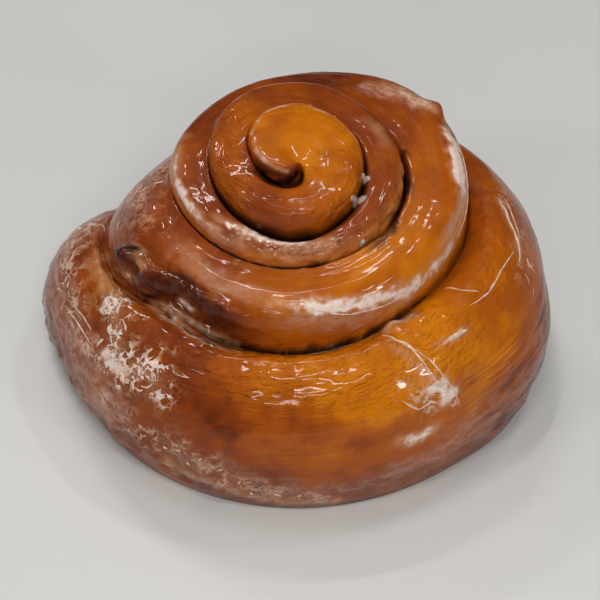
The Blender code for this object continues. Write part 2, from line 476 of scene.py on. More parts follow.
# the washes of each layer: name, reach in mm, strength and path
WASHES: dict[Layer, tuple[Wash, ...]] = {
    # milky glaze film; on the lower walls it is partly a painted sheen of reflected light
    Layer.MILK_AND_SHEEN: (
        Wash("front_band_veil", 3.0, 0.38, ((2.4, 0.42), (2.36, 0.46), (2.31, 0.48))),
        Wash("shoulder_rim", 3.0, 1.0, ((1.99, 0.66), (2.03, 0.74), (2.06, 0.8))),
        Wash("left_ribbon_veil", 2.2, 0.5, ((1.54, 0.7), (1.46, 0.76), (1.4, 0.78), (1.34, 0.74))),
        Wash("under_groove_veil", 2.2, 0.5, ((1.26, 0.56), (1.2, 0.6))),
        Wash("corner_film", 2.6, 1.3, ((1.84, 0.36), (1.871, 0.41), (1.888, 0.44), (1.902, 0.47))),
        Wash("left_edge_film", 8.0, 0.9, ((3.55, 0.5), (3.52, 0.6), (3.48, 0.7), (3.44, 0.75), (3.4, 0.8))),
        Wash("slope_film", 7.0, 0.75, ((2.6, 0.4), (2.55, 0.5), (2.5, 0.55))),
        Wash("right_edge_film", 5.0, 0.7, ((2.97, 0.72), (3.02, 0.78), (3.06, 0.86), (3.12, 0.9))),
        Wash("right_low_film", 5.0, 0.65, ((3.08, 0.79, 0.5), (3.106, 0.82, 0.8), (3.127, 0.86),
            (3.15, 0.89), (3.175, 0.9), (3.204, 0.93, 0.7))),
        Wash("front_low_film", 5.0, 0.45, ((3.23, 0.93, 0.7), (3.26, 0.9), (3.288, 0.88), (3.31, 0.85),
            (3.333, 0.83))),
        Wash("wall_film", 2.4, 0.55, ((2.25, 0.76), (2.21, 0.84), (2.17, 0.89), (2.12, 0.93))),
    ),
    Layer.ICING: (
        # the white band on the front shoulder is icing and partly a painted highlight
        Wash("front_band_and_highlight", 2.4, 1.05, ((2.3, 0.51, 0.2), (2.275, 0.53, 0.35), (2.258, 0.56, 0.55),
            (2.238, 0.59, 0.8), (2.217, 0.635), (2.2, 0.69), (2.173, 0.755), (2.144, 0.81, 0.9),
            (2.121, 0.845), (2.098, 0.865, 0.95), (2.08, 0.87, 0.85), (2.06, 0.86, 0.7),
            (2.04, 0.85, 0.4))),
        Wash("front_core_and_highlight", 1.6, 1.4, ((2.24, 0.6, 0.6), (2.222, 0.64, 1.1), (2.203, 0.69, 1.1),
            (2.18, 0.75), (2.155, 0.79, 0.7), (2.125, 0.84, 0.9), (2.1, 0.865, 0.7))),
        Wash("front_band_fade", 2.8, 0.4, ((2.42, 0.42, 0.3), (2.38, 0.48, 0.6), (2.34, 0.52),
            (2.3, 0.51))),
        Wash("shoulder_patch", 2.2, 1.2, ((1.935, 0.56, 0.6), (1.945, 0.57), (1.958, 0.575), (1.977, 0.59),
            (1.994, 0.62), (2.004, 0.65, 0.6), (2.02, 0.72, 0.4))),
        Wash("left_ribbon", 1.4, 0.95, ((1.57, 0.56, 0.3), (1.54, 0.6, 0.6), (1.517, 0.67, 0.8),
            (1.488, 0.68), (1.458, 0.69), (1.433, 0.68, 0.9), (1.408, 0.67, 0.7), (1.383, 0.64, 0.5),
            (1.35, 0.66, 0.3))),
        Wash("under_groove", 1.5, 0.95, ((1.4, 0.42, 0.3), (1.383, 0.38, 0.5), (1.348, 0.34, 0.8),
            (1.312, 0.33), (1.275, 0.34), (1.242, 0.37, 0.9), (1.21, 0.42, 0.5), (1.185, 0.46, 0.3))),
        Wash("corner_frost", 2.2, 0.72, ((1.835, 0.38, 0.4), (1.85, 0.4, 0.8), (1.871, 0.42), (1.89, 0.46),
            (1.905, 0.5, 0.6))),
        Wash("disc_rim", 0.55, 0.62, ((-0.45, 0.63), (-0.402, 0.7), (-0.331, 0.8), (-0.287, 0.74),
            (-0.24, 0.75), (-0.16, 0.74), (-0.06, 0.72))),
        Wash("lobe_rim", 0.7, 0.6, ((-0.66, 0.66), (-0.6, 0.62), (-0.53, 0.6), (-0.47, 0.62))),
        Wash("back_veil", 1.8, 0.4, ((0.9, 0.42, 0.5), (0.93, 0.44), (0.96, 0.46, 0.4))),
        Wash("lace_core", 2.0, 1.2, ((3.411, 0.645), (3.402, 0.655), (3.394, 0.66), (3.385, 0.65, 0.7))),
        Wash("lace_film", 2.4, 0.5, ((3.438, 0.46), (3.423, 0.5), (3.415, 0.56), (3.405, 0.6))),
        Wash("lace_haze", 4.0, 0.24, ((3.42, 0.55), (3.4, 0.6), (3.38, 0.63), (3.36, 0.64))),
        Wash("lace_side_film", 2.4, 0.48, ((3.385, 0.64), (3.375, 0.61), (3.362, 0.64))),
        Wash("square_patch", 1.9, 1.3, ((3.143, 0.655), (3.136, 0.66), (3.137, 0.69), (3.13, 0.7),
            (3.136, 0.71))),
        Wash("square_tail", 1.0, 0.7, ((3.152, 0.52, 0.5), (3.147, 0.58), (3.14, 0.64))),
        Wash("low_patch", 1.8, 1.05, ((3.176, 0.78, 0.5), (3.166, 0.785, 0.8), (3.156, 0.79),
            (3.144, 0.78, 0.5))),
        Wash("right_streak", 0.9, 0.95, ((3.128, 0.52, 0.4), (3.118, 0.53), (3.108, 0.532),
            (3.1, 0.535, 0.3))),
        Wash("seam_film", 1.3, 0.75, ((2.412, 0.94, 0.5), (2.398, 0.955, 0.8), (2.367, 0.97),
            (2.337, 0.975, 0.8), (2.31, 0.975, 0.3))),
        Wash("lip_film", 1.9, 0.75, ((3.41, 0.1, 0.6), (3.39, 0.14), (3.36, 0.2), (3.335, 0.22),
            (3.305, 0.22, 0.5))),
        Wash("notch_film", 1.8, 0.75, ((3.155, 0.22), (3.14, 0.22), (3.128, 0.21))),
        Wash("lip_crumbs", 0.8, 0.6, ((3.28, 0.16), (3.24, 0.15), (3.2, 0.15), (3.17, 0.17))),
        Wash("wall_spot", 1.3, 0.8, ((2.374, 0.845), (2.366, 0.875))),
        Wash("ribbon_film", 1.2, 0.45, ((3.163, 0.4, 0.5), (3.157, 0.47), (3.153, 0.54), (3.149, 0.61))),
        Wash("bottom_film", 2.2, 0.62, ((3.345, 0.9), (3.31, 0.92), (3.27, 0.96), (3.22, 0.97))),
        Wash("right_ribbon", 1.2, 0.6, ((2.971, 0.444), (2.99, 0.475), (3.004, 0.529), (3.023, 0.552))),
        Wash("tear_rim", 0.4, 0.45, ((2.461, 0.715, 0.5), (2.459, 0.68), (2.448, 0.64),
            (2.433, 0.645, 0.6))),
        Wash("wall_haze", 2.0, 0.4, ((2.26, 0.68, 0.4), (2.235, 0.72), (2.21, 0.77), (2.185, 0.82),
            (2.15, 0.86, 0.6), (2.11, 0.89, 0.4))),
    ),
    Layer.WEB: (
        Wash("lace_left", 4.8, 1.3, ((3.438, 0.44), (3.423, 0.48), (3.421, 0.56), (3.408, 0.59),
            (3.396, 0.59), (3.406, 0.66), (3.394, 0.67), (3.377, 0.625), (3.371, 0.58), (3.362, 0.62),
            (3.354, 0.65))),
        Wash("square_web", 3.2, 0.7, ((3.165, 0.62), (3.15, 0.7), (3.13, 0.73))),
        Wash("bottom_web", 6.0, 0.6, ((3.4, 0.8), (3.358, 0.83), (3.333, 0.83), (3.312, 0.86), (3.29, 0.9),
            (3.262, 0.93), (3.231, 0.95))),
        Wash("left_edge_web", 5.0, 0.75, ((3.56, 0.48), (3.53, 0.48), (3.5, 0.55), (3.46, 0.62),
            (3.43, 0.7))),
        Wash("slope_web", 6.0, 0.55, ((2.58, 0.4), (2.55, 0.45), (2.52, 0.55), (2.48, 0.5))),
        Wash("right_web", 3.4, 0.5, ((2.96, 0.46), (3.0, 0.55), (3.03, 0.58))),
    ),
    Layer.WRINKLE: (
        Wash("front_wrinkles", 6.0, 0.65, ((3.34, 0.46), (3.24, 0.5), (3.12, 0.52))),
        Wash("low_wrinkles", 9.0, 1.0, ((3.54, 0.6), (3.48, 0.75), (3.4, 0.84), (3.34, 0.88), (3.28, 0.92),
            (3.2, 0.95), (3.12, 0.92))),
        Wash("disc_wrinkles", 3.8, 1.2, ((0.0, 0.35), (0.05, 0.45), (0.12, 0.6), (0.18, 0.72),
            (0.27, 0.62, 0.6), (0.36, 0.6, 0.4))),
        Wash("shoulder_wrinkles", 4.0, 0.7, ((2.4, 0.8), (2.36, 0.85), (2.3, 0.9))),
        Wash("torn_wrinkles", 3.0, 1.0, ((2.46, 0.72), (2.44, 0.8), (2.42, 0.9))),
    ),
    Layer.RIPPLE: (
        Wash("front_ripples", 8.0, 1.0, ((3.34, 0.5), (3.29, 0.51), (3.24, 0.53), (3.18, 0.54),
            (3.12, 0.52))),
        Wash("front_low_ripples", 5.0, 1.0, ((3.18, 0.62), (3.14, 0.66), (3.1, 0.6))),
        Wash("right_ripples", 5.0, 0.7, ((3.08, 0.5), (3.03, 0.5), (2.97, 0.45))),
        Wash("left_ripples", 6.0, 1.0, ((3.42, 0.5), (3.38, 0.58), (3.35, 0.62))),
        Wash("disc_low_ripples", 4.0, 1.0, ((0.4, 0.6), (0.46, 0.55), (0.54, 0.55), (0.62, 0.5))),
        Wash("back_ripples", 3.0, 1.0, ((1.78, 0.35), (1.84, 0.35))),
        Wash("shoulder_ripples", 1.6, 0.8, ((2.4, 0.62), (2.34, 0.62), (2.26, 0.66), (2.18, 0.8))),
        Wash("slope_ripples", 7.0, 0.5, ((2.56, 0.45), (2.5, 0.5), (2.45, 0.5))),
    ),
    # browning, and painted shade in the grooves, under the lobe, by the curl and in the torn pit
    Layer.BROWN_AND_SHADE: (
        Wash("shoulder_dark", 2.2, 0.45, ((2.395, 0.67, 0.6), (2.375, 0.68), (2.355, 0.72),
            (2.33, 0.78, 0.7))),
        Wash("torn_glassy", 1.6, 0.5, ((2.425, 0.8), (2.413, 0.834), (2.405, 0.86))),
        Wash("torn_deep_shade", 1.4, 0.6, ((2.46, 0.75), (2.455, 0.73), (2.446, 0.71), (2.438, 0.7))),
        Wash("front_wall_brown", 5.2, 0.32, ((3.335, 0.62, 0.5), (3.31, 0.66, 0.8), (3.285, 0.68),
            (3.258, 0.67), (3.235, 0.69), (3.213, 0.7, 0.6))),
        Wash("coil_side_shade", 3.0, 0.12, ((2.9, 0.2), (2.96, 0.2), (3.02, 0.16), (3.06, 0.12))),
        Wash("curl_side_shade", 1.6, 0.35, ((0.44, 0.12), (0.47, 0.18), (0.52, 0.16), (0.57, 0.12))),
        Wash("low_front_brown", 3.0, 0.3, ((3.21, 0.74), (3.18, 0.74), (3.16, 0.72))),
        Wash("lobe_wall_shade", 1.8, 0.35, ((-0.72, 0.66), (-0.66, 0.72), (-0.58, 0.76), (-0.52, 0.8))),
        Wash("groove_shade", 1.6, 0.5, ((1.96, 0.1), (2.02, 0.08), (2.08, 0.06))),
    ),
    Layer.TORN: (
        Wash("torn_crumb", 2.6, 0.85, ((3.5, 0.26), (3.487, 0.31), (3.47, 0.37), (3.455, 0.4),
            (3.44, 0.4))),
        Wash("torn_strand", 1.1, 0.7, ((2.44, 0.675), (2.434, 0.7), (2.427, 0.72))),
        Wash("torn_pale", 1.8, 0.75, ((2.448, 0.84), (2.444, 0.853), (2.434, 0.85))),
        Wash("torn_lump", 1.5, 0.6, ((3.455, 0.24), (3.44, 0.22))),
        Wash("matte_side", 3.0, 0.42, ((1.32, 0.84), (1.26, 0.82), (1.18, 0.82), (1.12, 0.82), (1.06, 0.8),
            (1.0, 0.78))),
    ),
    # painted shade: slits through the film, the torn pit and crescent, the groove's crescent and the hollow
    # under the curl
    Layer.SLIT_SHADE: (
        Wash("pit_shade", 0.6, 0.8, ((2.461, 0.73, 0.6), (2.459, 0.705), (2.45, 0.672), (2.44, 0.678, 0.5))),
        Wash("torn_crescent_shade", 1.3, 1.1, ((2.433, 0.865, 0.6), (2.424, 0.885), (2.415, 0.9),
            (2.406, 0.911, 0.7))),
        Wash("film_gap", 0.55, 0.9, ((3.398, 0.07), (3.39, 0.12))),
        Wash("film_slit", 0.5, 0.9, ((3.366, 0.18), (3.355, 0.22))),
        Wash("film_slot", 0.65, 0.9, ((3.338, 0.22), (3.328, 0.25))),
        Wash("film_end", 0.8, 0.9, ((3.315, 0.2), (3.3, 0.2))),
        Wash("crescent_shade", 1.3, 0.95, ((1.965, 0.07, 0.5), (1.99, 0.075, 0.9), (2.04, 0.08),
            (2.07, 0.085), (2.1, 0.115, 0.9), (2.125, 0.16, 0.7), (2.145, 0.21, 0.4))),
        Wash("curl_shade", 1.6, 1.0, ((-0.74, 0.74), (-0.68, 0.84), (-0.6, 0.9), (-0.54, 0.94))),
        Wash("curl_floor_shade", 1.3, 1.0, ((0.2, 0.08), (0.3, 0.1), (0.4, 0.08))),
    ),
}


@dataclass(frozen=True)
class Zone:
    """A stretch of the strip with soft ends, and how strongly something shows there.

    Start and end are turns, and across is the share at which it sets in.
    """

    amount: float
    start: Span
    end: Span
    across: Span

    def at(self, turn: Array, across: Array) -> Array:
        """Return the zone's amount at each place."""
        inside = smooth_step(*self.start, turn) * smooth_step(*self.end, turn)
        return self.amount * inside * smooth_step(*self.across, across)


@dataclass(frozen=True)
class SeamSide:
    """How far the painted shade of a seam reaches on one side of it, as shares across the strip.

    The reach is a least share and more for each mm of the seam's depth, thinned further out.
    """

    least: float
    by_depth: float
    thinned: float
    edge: Span

    def at(self, gap: Array, depth: Array, outer: Array, waver: float | Array = 1.0) -> Array:
        """Paint shade on one side of the seams.

        Args:
            gap: each place's share across, counted from the seam.
            depth: the seam's depth there, in mm.
            outer: how far out the place lies, 0 to 1.
            waver: how the reach comes and goes along the seam.

        Returns:
            How strong the painted shade is at each place, 0 to 1.
        """
        reach = (self.least + self.by_depth * depth) * waver * (1 - self.thinned * outer)
        return smooth_step(self.edge[0] * reach, self.edge[1] * reach, gap)


@dataclass(frozen=True)
class Relief:
    """The crust's low relief: its patterns, their heights in mm and where they show.

    Heights above the floor and turns are given as spans over which a pattern sets in.
    """

    inner_hold: float = 0.1
    outer_hold: float = 0.06
    foot_height: float = 8.0
    top_height: float = 60.0
    lumps: Grain = Grain(14.0, 0, 0.45)
    ridges: tuple[Grain, ...] = (Grain((22.0, 1.5, 1.0), 1), Grain((10.0, 0.7, 1.0), 2, 0.5))
    ridge_height: float = 0.40
    ridge_least: float = 0.2
    wrinkles: Grain = Grain(1.9, 3)
    wrinkle_height: float = 0.05
    wrinkled: float = 0.12
    crags: Grain = Grain(4.2, 12)
    crests: Grain = Grain(2.6, 13, 0.6)
    crag_height: float = 0.6
    crag_heights: Span = (16.0, 6.0)
    crag_turns: Span = (2.2, 2.3)
    left_crag_height: float = 0.8
    left_crag_heights: Span = (27.0, 12.0)
    left_crag_turns: Span = (3.24, 3.34)
    crumble: tuple[Grain, ...] = (Grain(2.4, 16), Grain(1.2, 17, 0.6))
    torn_height: float = 1.2
    recess_crumble: float = 0.5
    ripples: Grain = Grain(1.5, 14)
    ripple_squeeze: float = 0.22
    rippled: float = 0.26
    hollow_grain: Grain = Grain(2.2, 9, 0.35)
    lip_grain: Grain = Grain(3.5, 4, 0.5)
    lip_start: Span = (0.0, 0.05)
    lip_end: Span = (0.30, 0.12)
    lip_turns: Span = (2.9, 3.05)

    def crag_rise(self, height: Array, turn: Array) -> Array:
        """Fade the crags out above the foot.

        Args:
            height: each place's height above the floor, in mm.
            turn: its turn.

        Returns:
            How high the crags stand there, in mm.
        """
        low = self.crag_height * smooth_step(*self.crag_heights, height) * smooth_step(*self.crag_turns, turn)
        left = self.left_crag_height * smooth_step(*self.left_crag_heights, height)
        return low + left * smooth_step(*self.left_crag_turns, turn)

    def near_lip(self, turn: Array, across: Array) -> Array:
        """Return how near each place is to the base coil's ragged lip, 0 to 1."""
        on_lip = smooth_step(*self.lip_start, across) * smooth_step(*self.lip_end, across)
        return on_lip * smooth_step(*self.lip_turns, turn)


@dataclass(frozen=True)
class Shades:
    """Where the crust is brown, ridged or darkened by painted shade in its seams."""

    brown_wall: Span = (0.55, 0.88)
    base_lift: float = 0.07
    base_turns: Span = (2.9, 3.1)
    brown_patches: tuple[Grain, ...] = (Grain(9.0, 5, 0.22), Grain(3.0, 6, 0.10))
    ridged_least: float = 0.08
    # at the right, at the left, where it runs on past the last turn, and at the front
    ridged_zones: tuple[Zone, ...] = (
        Zone(0.92, (2.80, 2.92), (3.16, 3.06), (0.60, 0.80)),
        Zone(0.25, (3.30, 3.40), (5.0, 4.0), (0.80, 0.95)),
        Zone(0.10, (3.14, 3.24), (3.46, 3.38), (0.48, 0.60)),
    )
    lip_side: SeamSide = SeamSide(0.03, 0.02, 0.55, (1.3, 0.5))
    wall_side: SeamSide = SeamSide(0.04, 0.012, 0.35, (1.4, 0.2))
    seam_waver: Grain = Grain(2.4, 15, 0.7)
    # turns where the painted seam shade thins out, starts, fades where the seams merge at the left and
    # softens at the right
    outer_turns: Span = (1.6, 2.2)
    tongue_end: float = -0.9
    merged_from: float = 2.3
    merged_turns: Span = (3.40, 3.47)
    merged_light: float = 0.85
    soft_start: Span = (2.93, 3.00)
    soft_end: Span = (3.15, 3.08)
    soft_light: float = 0.40
    midway: float = 0.5
    # turn, and how dark the crust is at the crown and on the wall
    tone: Keys = (
        (-0.90, 0.60, 0.80),
        (-0.75, 0.78, 0.70),
        (-0.60, 0.34, 0.80),
        (-0.45, 0.24, 0.48),
        (-0.30, 0.22, 0.26),
        (0.00, 0.17, 0.15),
        (0.25, 0.40, 0.50),
        (0.35, 0.66, 0.60),
        (0.45, 0.44, 0.34),
        (0.60, 0.42, 0.50),
        (0.75, 0.66, 0.50),
        (1.00, 0.64, 0.14),
        (1.10, 0.68, 0.16),
        (1.25, 0.72, 0.20),
        (1.35, 0.84, 0.43),
        (1.50, 0.66, 0.18),
        (1.65, 0.68, 0.45),
        (1.85, 0.70, 0.50),
        (1.98, 0.47, 0.10),
        (2.08, 0.22, 0.06),
        (2.20, 0.22, 0.26),
        (2.32, 0.56, 0.80),
        (2.45, 0.68, 0.68),
        (2.55, 0.68, 0.54),
        (2.75, 0.55, 0.45),
        (2.90, 0.52, 0.45),
        (3.00, 0.42, 0.88),
        (3.12, 0.10, 0.62),
        (3.25, 0.18, 0.66),
        (3.35, 0.70, 0.66),
        (3.39, 0.62, 0.56),
        (3.43, 0.60, 0.64),
        (3.50, 0.62, 0.78),
        (3.70, 0.60, 0.70),
    )


@dataclass
class Dough:
    """The strip's fine surface: its form, its relief, how far each place is baked and where shade is painted
    on it.
    """

    winding: Winding = field(default_factory=Winding)
    relief: Relief = field(default_factory=Relief)
    shades: Shades = field(default_factory=Shades)
    tear: Tear = field(default_factory=Tear)
    washes: dict[Layer, tuple[Wash, ...]] = field(default_factory=lambda: dict(WASHES))
    steps_per_turn: int = 300
    rows: int = 66
    # for the length along the strip: its first radius and half of what that gains a turn, in mm
    first_radius: float = 6.0
    half_gain: float = 6.5
    wash_ragged: float = 0.55
    wash_grains: tuple[Grain, ...] = (Grain(2.8, 21), Grain(1.2, 22, 0.7))
    # how strong the painted shade is in the recess under the torn edge
    recess_shade: float = 0.20
    corner_place: Triple = (30.2, 25.8, 51.8)
    corner_pull: Triple = (1.9, 0.5, 1.7)
    corner_reach: float = 4.2
    corner_power: float = 1.4
    dents: tuple[Dent, ...] = (
        Dent("torn_slit", 2.420, 0.89, 0.018, 0.05, 1.0),
        Dent("torn_pit", 2.455, 0.74, 0.014, 0.06, 1.0),
        Dent("lip_notch", 3.148, 0.18, 0.010, 0.16, 0.8),
    )
    base_inset: float = 6.0
    weld: float = 0.01
    tree: BVHTree | None = None

    def washed(self, bare: Array) -> dict[Layer, Array]:
        """Paint all the washes.

        Args:
            bare: places of the bare strip in mm, one a row.

        Returns:
            How strong each layer is at each place: as strong as the strongest of its washes.
        """
        ragged = self.wash_ragged * mingle(self.wash_grains, bare)
        return {
            layer: np.max([wash.at(self.winding, bare, ragged) for wash in washes], axis=0)
            for layer, washes in self.washes.items()
        }

    def strip_length(self, turn: Array) -> Array:
        """Return a rough length along the strip from its start, in mm."""
        return 2 * math.pi * (self.first_radius * turn + self.half_gain * turn * np.abs(turn))

    def surface(self, turn: Array, across: Array, bare: Array, washed: dict[Layer, Array]) -> Array:
        """Return the finished surface.

        Args:
            turn: the turn of each point.
            across: its share across the strip, 0 to 1.
            bare: its place on the bare strip, in mm.
            washed: how strong each layer is at each point.

        Returns:
            Places in mm, one a row.
        """
        relief = self.relief
        height = bare[:, 2]
        along = self.strip_length(turn)
        girth = np.hypot(bare[:, 0], bare[:, 1]) + (relief.top_height - height)
        track = np.column_stack([along, girth, np.zeros_like(along)])
        squeezed = np.column_stack([along * relief.ripple_squeeze, girth, girth * 0])

        lumps = relief.lumps.at(bare) * smooth_step(0.0, relief.foot_height, height)
        ridge_share = relief.ridge_least + (1 - relief.ridge_least) * self.ridged(turn, across)
        ridges = mingle(relief.ridges, track) * (relief.ridge_height * ridge_share)
        wrinkled = relief.wrinkle_height + relief.wrinkled * washed[Layer.WRINKLE]
        wrinkles = relief.wrinkles.at(bare) * wrinkled
        crags = relief.crags.at(bare) + np.abs(relief.crests.at(bare))
        wrinkles += crags * relief.crag_rise(height, turn)
        crumble = mingle(relief.crumble, bare)
        wrinkles += relief.torn_height * crumble * washed[Layer.TORN]
        recess = self.tear.depth(turn) * self.tear.share(turn, across)
        wrinkles += relief.recess_crumble * recess * crumble
        wrinkles += relief.ripples.at(squeezed) * relief.rippled * washed[Layer.RIPPLE]

        free = smooth_step(0.0, relief.inner_hold, across) * smooth_step(0.0, relief.outer_hold, 1 - across)
        hollow = sum(dent.at(turn, across) for dent in self.dents) + recess
        fine = (ridges + wrinkles + lumps) * free - hollow * (1 + relief.hollow_grain.at(bare))
        place = bare + self.winding.normals(turn, across) * fine[:, None]
        gap = np.linalg.norm(bare - np.array(self.corner_place), axis=1) / self.corner_reach
        place += np.array(self.corner_pull) * np.clip(1 - gap, 0, 1)[:, None] ** self.corner_power
        place[:, 2] += relief.lip_grain.at(on_line(along)) * relief.near_lip(turn, across)
        return place

    def bake(self, place: Array, turn: Array, across: Array) -> Array:
        """Bake the crust.

        Args:
            place: each point's finished place, in mm.
            turn: its turn.
            across: its share across the strip, 0 to 1.

        Returns:
            How brown each point is, from golden (0) to dark (1).
        """
        shades = self.shades
        lift = shades.base_lift * smooth_step(*shades.base_turns, turn)
        on_wall = smooth_step(*shades.brown_wall, across - lift)
        top, wall = Track(shades.tone, 1).at(turn), Track(shades.tone, 2).at(turn)
        return np.clip(top + (wall - top) * on_wall + mingle(shades.brown_patches, place), 0.0, 1.0)

    def girth(self, place: Array) -> Array:
        """Measure each grid point's distance from the inner seam.

        Args:
            place: the finished places of the whole grid, one a row.

        Returns:
            Lengths along the surface, in mm.
        """
        columns = place.reshape(self.rows + 1, -1, 3)
        steps = np.linalg.norm(np.diff(columns, axis=0), axis=2)
        reach = np.vstack([np.zeros(columns.shape[1]), np.cumsum(steps, axis=0)])
        return reach.ravel()

    def ridged(self, turn: Array, across: Array) -> Array:
        """Return how strongly the lengthwise ridges show at each place, 0 to 1."""
        return self.shades.ridged_least + sum(zone.at(turn, across) for zone in self.shades.ridged_zones)

    def seam_shade(self, turn: Array, across: Array) -> Array:
        """Paint shade into the seams, with a wavering edge.

        Args:
            turn: the turn of each point.
            across: its share across the strip, 0 to 1.

        Returns:
            How strong the painted seam shade is at each point, 0 to 1.
        """
        shades, last = self.shades, self.winding.last_turn
        depth = Track(self.winding.seam, 3)
        outer = smooth_step(*shades.outer_turns, turn)
        waver = 1 + shades.seam_waver.at(on_line(self.strip_length(turn)))
        lip_depth = depth.at(np.maximum(turn, self.winding.seam_start))
        on_lip = shades.lip_side.at(across, lip_depth, outer)
        on_wall = shades.wall_side.at(1 - across, depth.at(turn + 1), outer, waver) * (turn + 1 < last)
        seam_turn = np.where(across > shades.midway, turn + 1, turn)
        merged = smooth_step(*shades.merged_turns, seam_turn) * (turn > shades.merged_from)
        soft = smooth_step(*shades.soft_start, seam_turn) * smooth_step(*shades.soft_end, seam_turn)
        shade = np.clip(on_lip + on_wall, 0.0, 1.0) * (turn > shades.tongue_end)
        return shade * (1 - shades.merged_light * merged) * (1 - shades.soft_light * soft)

    def build(self, offset: Vector) -> bpy.types.Object:
        """Build the whole strip as one closed mesh.

        Args:
            offset: how far the winding's own origin is from the frame's, in metres.

        Returns:
            The object, with its bake, painted seam shade and wash values on its vertices.
        """
        steps = round((self.winding.last_turn + 1) * self.steps_per_turn)
        half = 0.5
        bm = bmesh.new()
        bmesh.ops.create_grid(bm, x_segments=steps, y_segments=self.rows, size=half, calc_uvs=True)
        grid = np.array([vert.co[:2] for vert in bm.verts]) + half
        turn = np.round(grid[:, 0] * steps) / self.steps_per_turn - 1
        across = np.round(grid[:, 1] * self.rows) / self.rows
        bare = self.winding.places(turn, across)
        washed = self.washed(bare)
        place = self.surface(turn, across, bare, washed)
        # painted shade in the recess under the torn edge, added to the browned washes
        recess = np.minimum(self.tear.depth(turn), 1.0) * self.tear.share(turn, across)
        washed[Layer.BROWN_AND_SHADE] = np.maximum(washed[Layer.BROWN_AND_SHADE], self.recess_shade * recess)
        fields = {
            "along": self.strip_length(turn),
            "girth": self.girth(place),
            "bake": self.bake(place, turn, across),
            # painted shade in the seams
            "seam": self.seam_shade(turn, across),
            "ridged": self.ridged(turn, across),
        }
        fields.update((layer.value, amount) for layer, amount in washed.items())
        layers = [(bm.verts.layers.float.new(name), values) for name, values in fields.items()]
        for i, vert in enumerate(bm.verts):
            vert.co = Vector(place[i])
            for layer, values in layers:
                vert[layer] = values[i]
        bmesh.ops.remove_doubles(bm, verts=bm.verts, dist=self.weld)
        rim = [edge for edge in bm.edges if edge.is_boundary]
        base = bmesh.ops.contextual_create(bm, geom=rim)["faces"]
        bmesh.ops.inset_region(bm, faces=base, thickness=self.base_inset, use_even_offset=False)
        bmesh.ops.poke(bm, faces=base)
        bmesh.ops.recalc_face_normals(bm, faces=bm.faces)
        self.tree = BVHTree.FromBMesh(bm)
        return finish_mesh(bm, "rolled_dough", offset)


def put(name: str, data: bpy.types.ID) -> bpy.types.Object:
    """Put a mesh, a light or a camera into the scene.

    Args:
        name: the object's name.
        data: what the object shows.

    Returns:
        The new object, at the origin.
    """
    thing = bpy.data.objects.new(name, data)
    bpy.context.scene.collection.objects.link(thing)
    return thing


def finish_mesh(bm: bmesh.types.BMesh, name: str, offset: Vector) -> bpy.types.Object:
    """Turn a bmesh in mm into a smooth object in the frame.

    Args:
        bm: the mesh, which is freed.
        name: the object's name.
        offset: how far the winding's own origin is from the frame's, in metres.

    Returns:
        The new object, at the origin.
    """
    bmesh.ops.scale(bm, vec=(MM, MM, MM), verts=bm.verts)
    bmesh.ops.translate(bm, vec=offset, verts=bm.verts)
    mesh = bpy.data.meshes.new(name)
    bm.to_mesh(mesh)
    bm.free()
    mesh.shade_smooth()
    return put(name, mesh)


@dataclass(frozen=True)
class Texture:
    """A noise texture: its scale, detail and distortion.

    With a stretch it follows the strip, squeezed along it. Without one it fills the piece.
    """

    scale: float
    detail: float
    warp: float = 0.0
    stretch: float = 0.0


